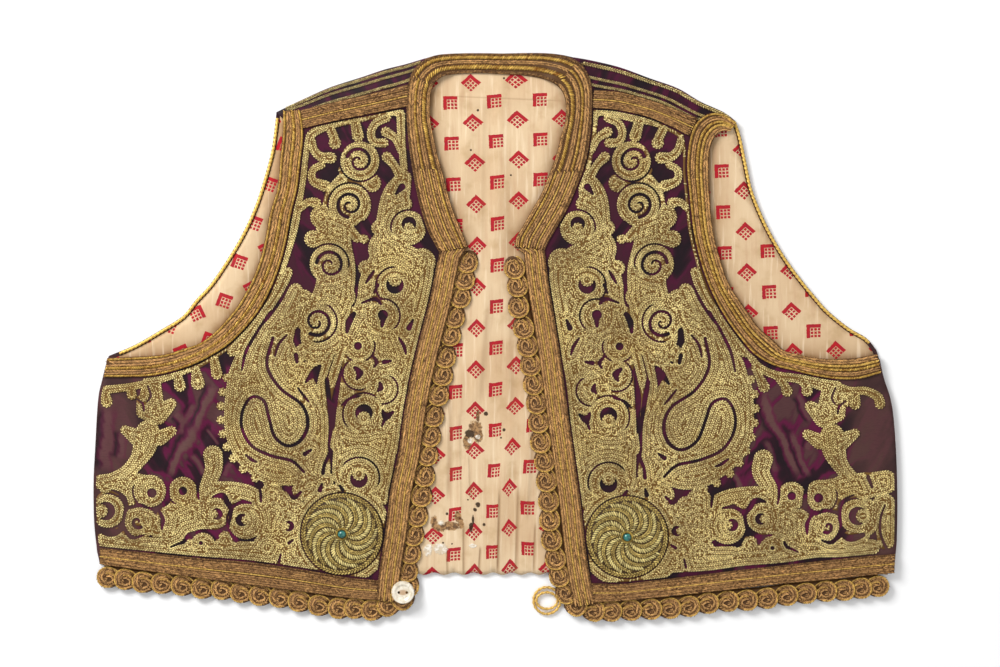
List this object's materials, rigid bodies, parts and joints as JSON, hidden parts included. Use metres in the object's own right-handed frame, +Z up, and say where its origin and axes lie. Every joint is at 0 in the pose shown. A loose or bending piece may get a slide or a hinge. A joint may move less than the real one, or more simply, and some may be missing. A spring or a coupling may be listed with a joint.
{
  "type": "embroidered waistcoat",
  "caption": "Sleeveless short waistcoat laid flat and open at the front, with couched cord embroidery, braided bands, looped edges, rosettes, a button and a cord loop",
  "frame": {"origin": "middle of the flat underside, on the surface that the waistcoat lies on", "axes": "+X across the garment towards the right side of the picture, +Y towards the neck, +Z up from the surface through the cloth layers"},
  "size_m": [0.4825, 0.3409, 0.0083],
  "materials": {
    "silk": "satin",
    "embroidered_silk": "couched cord",
    "printed_cotton": "matte",
    "braid": "braided",
    "gold_cord": "twisted",
    "bead": "gloss",
    "shell": "pearl"
  },
  "bodies": {
    "root": {"back": "silk", "back_lining": "printed_cotton", "front_left": "embroidered_silk", "front_right": "embroidered_silk", "neck_band": "braid", "front_band_left": "braid", "front_band_right": "braid", "armhole_band_left": "braid", "armhole_band_right": "braid", "shoulder_band_left": "braid", "shoulder_band_right": "braid", "hem_band_left": "braid", "hem_band_right": "braid", "armhole_cord_left": "gold_cord", "armhole_cord_right": "gold_cord", "loops_left": "gold_cord", "loops_right": "gold_cord", "rosette_left": "gold_cord", "rosette_right": "gold_cord", "bead_left": "bead", "bead_right": "bead", "button": "shell", "button_loop": "gold_cord"}
  },
  "joints": []
}
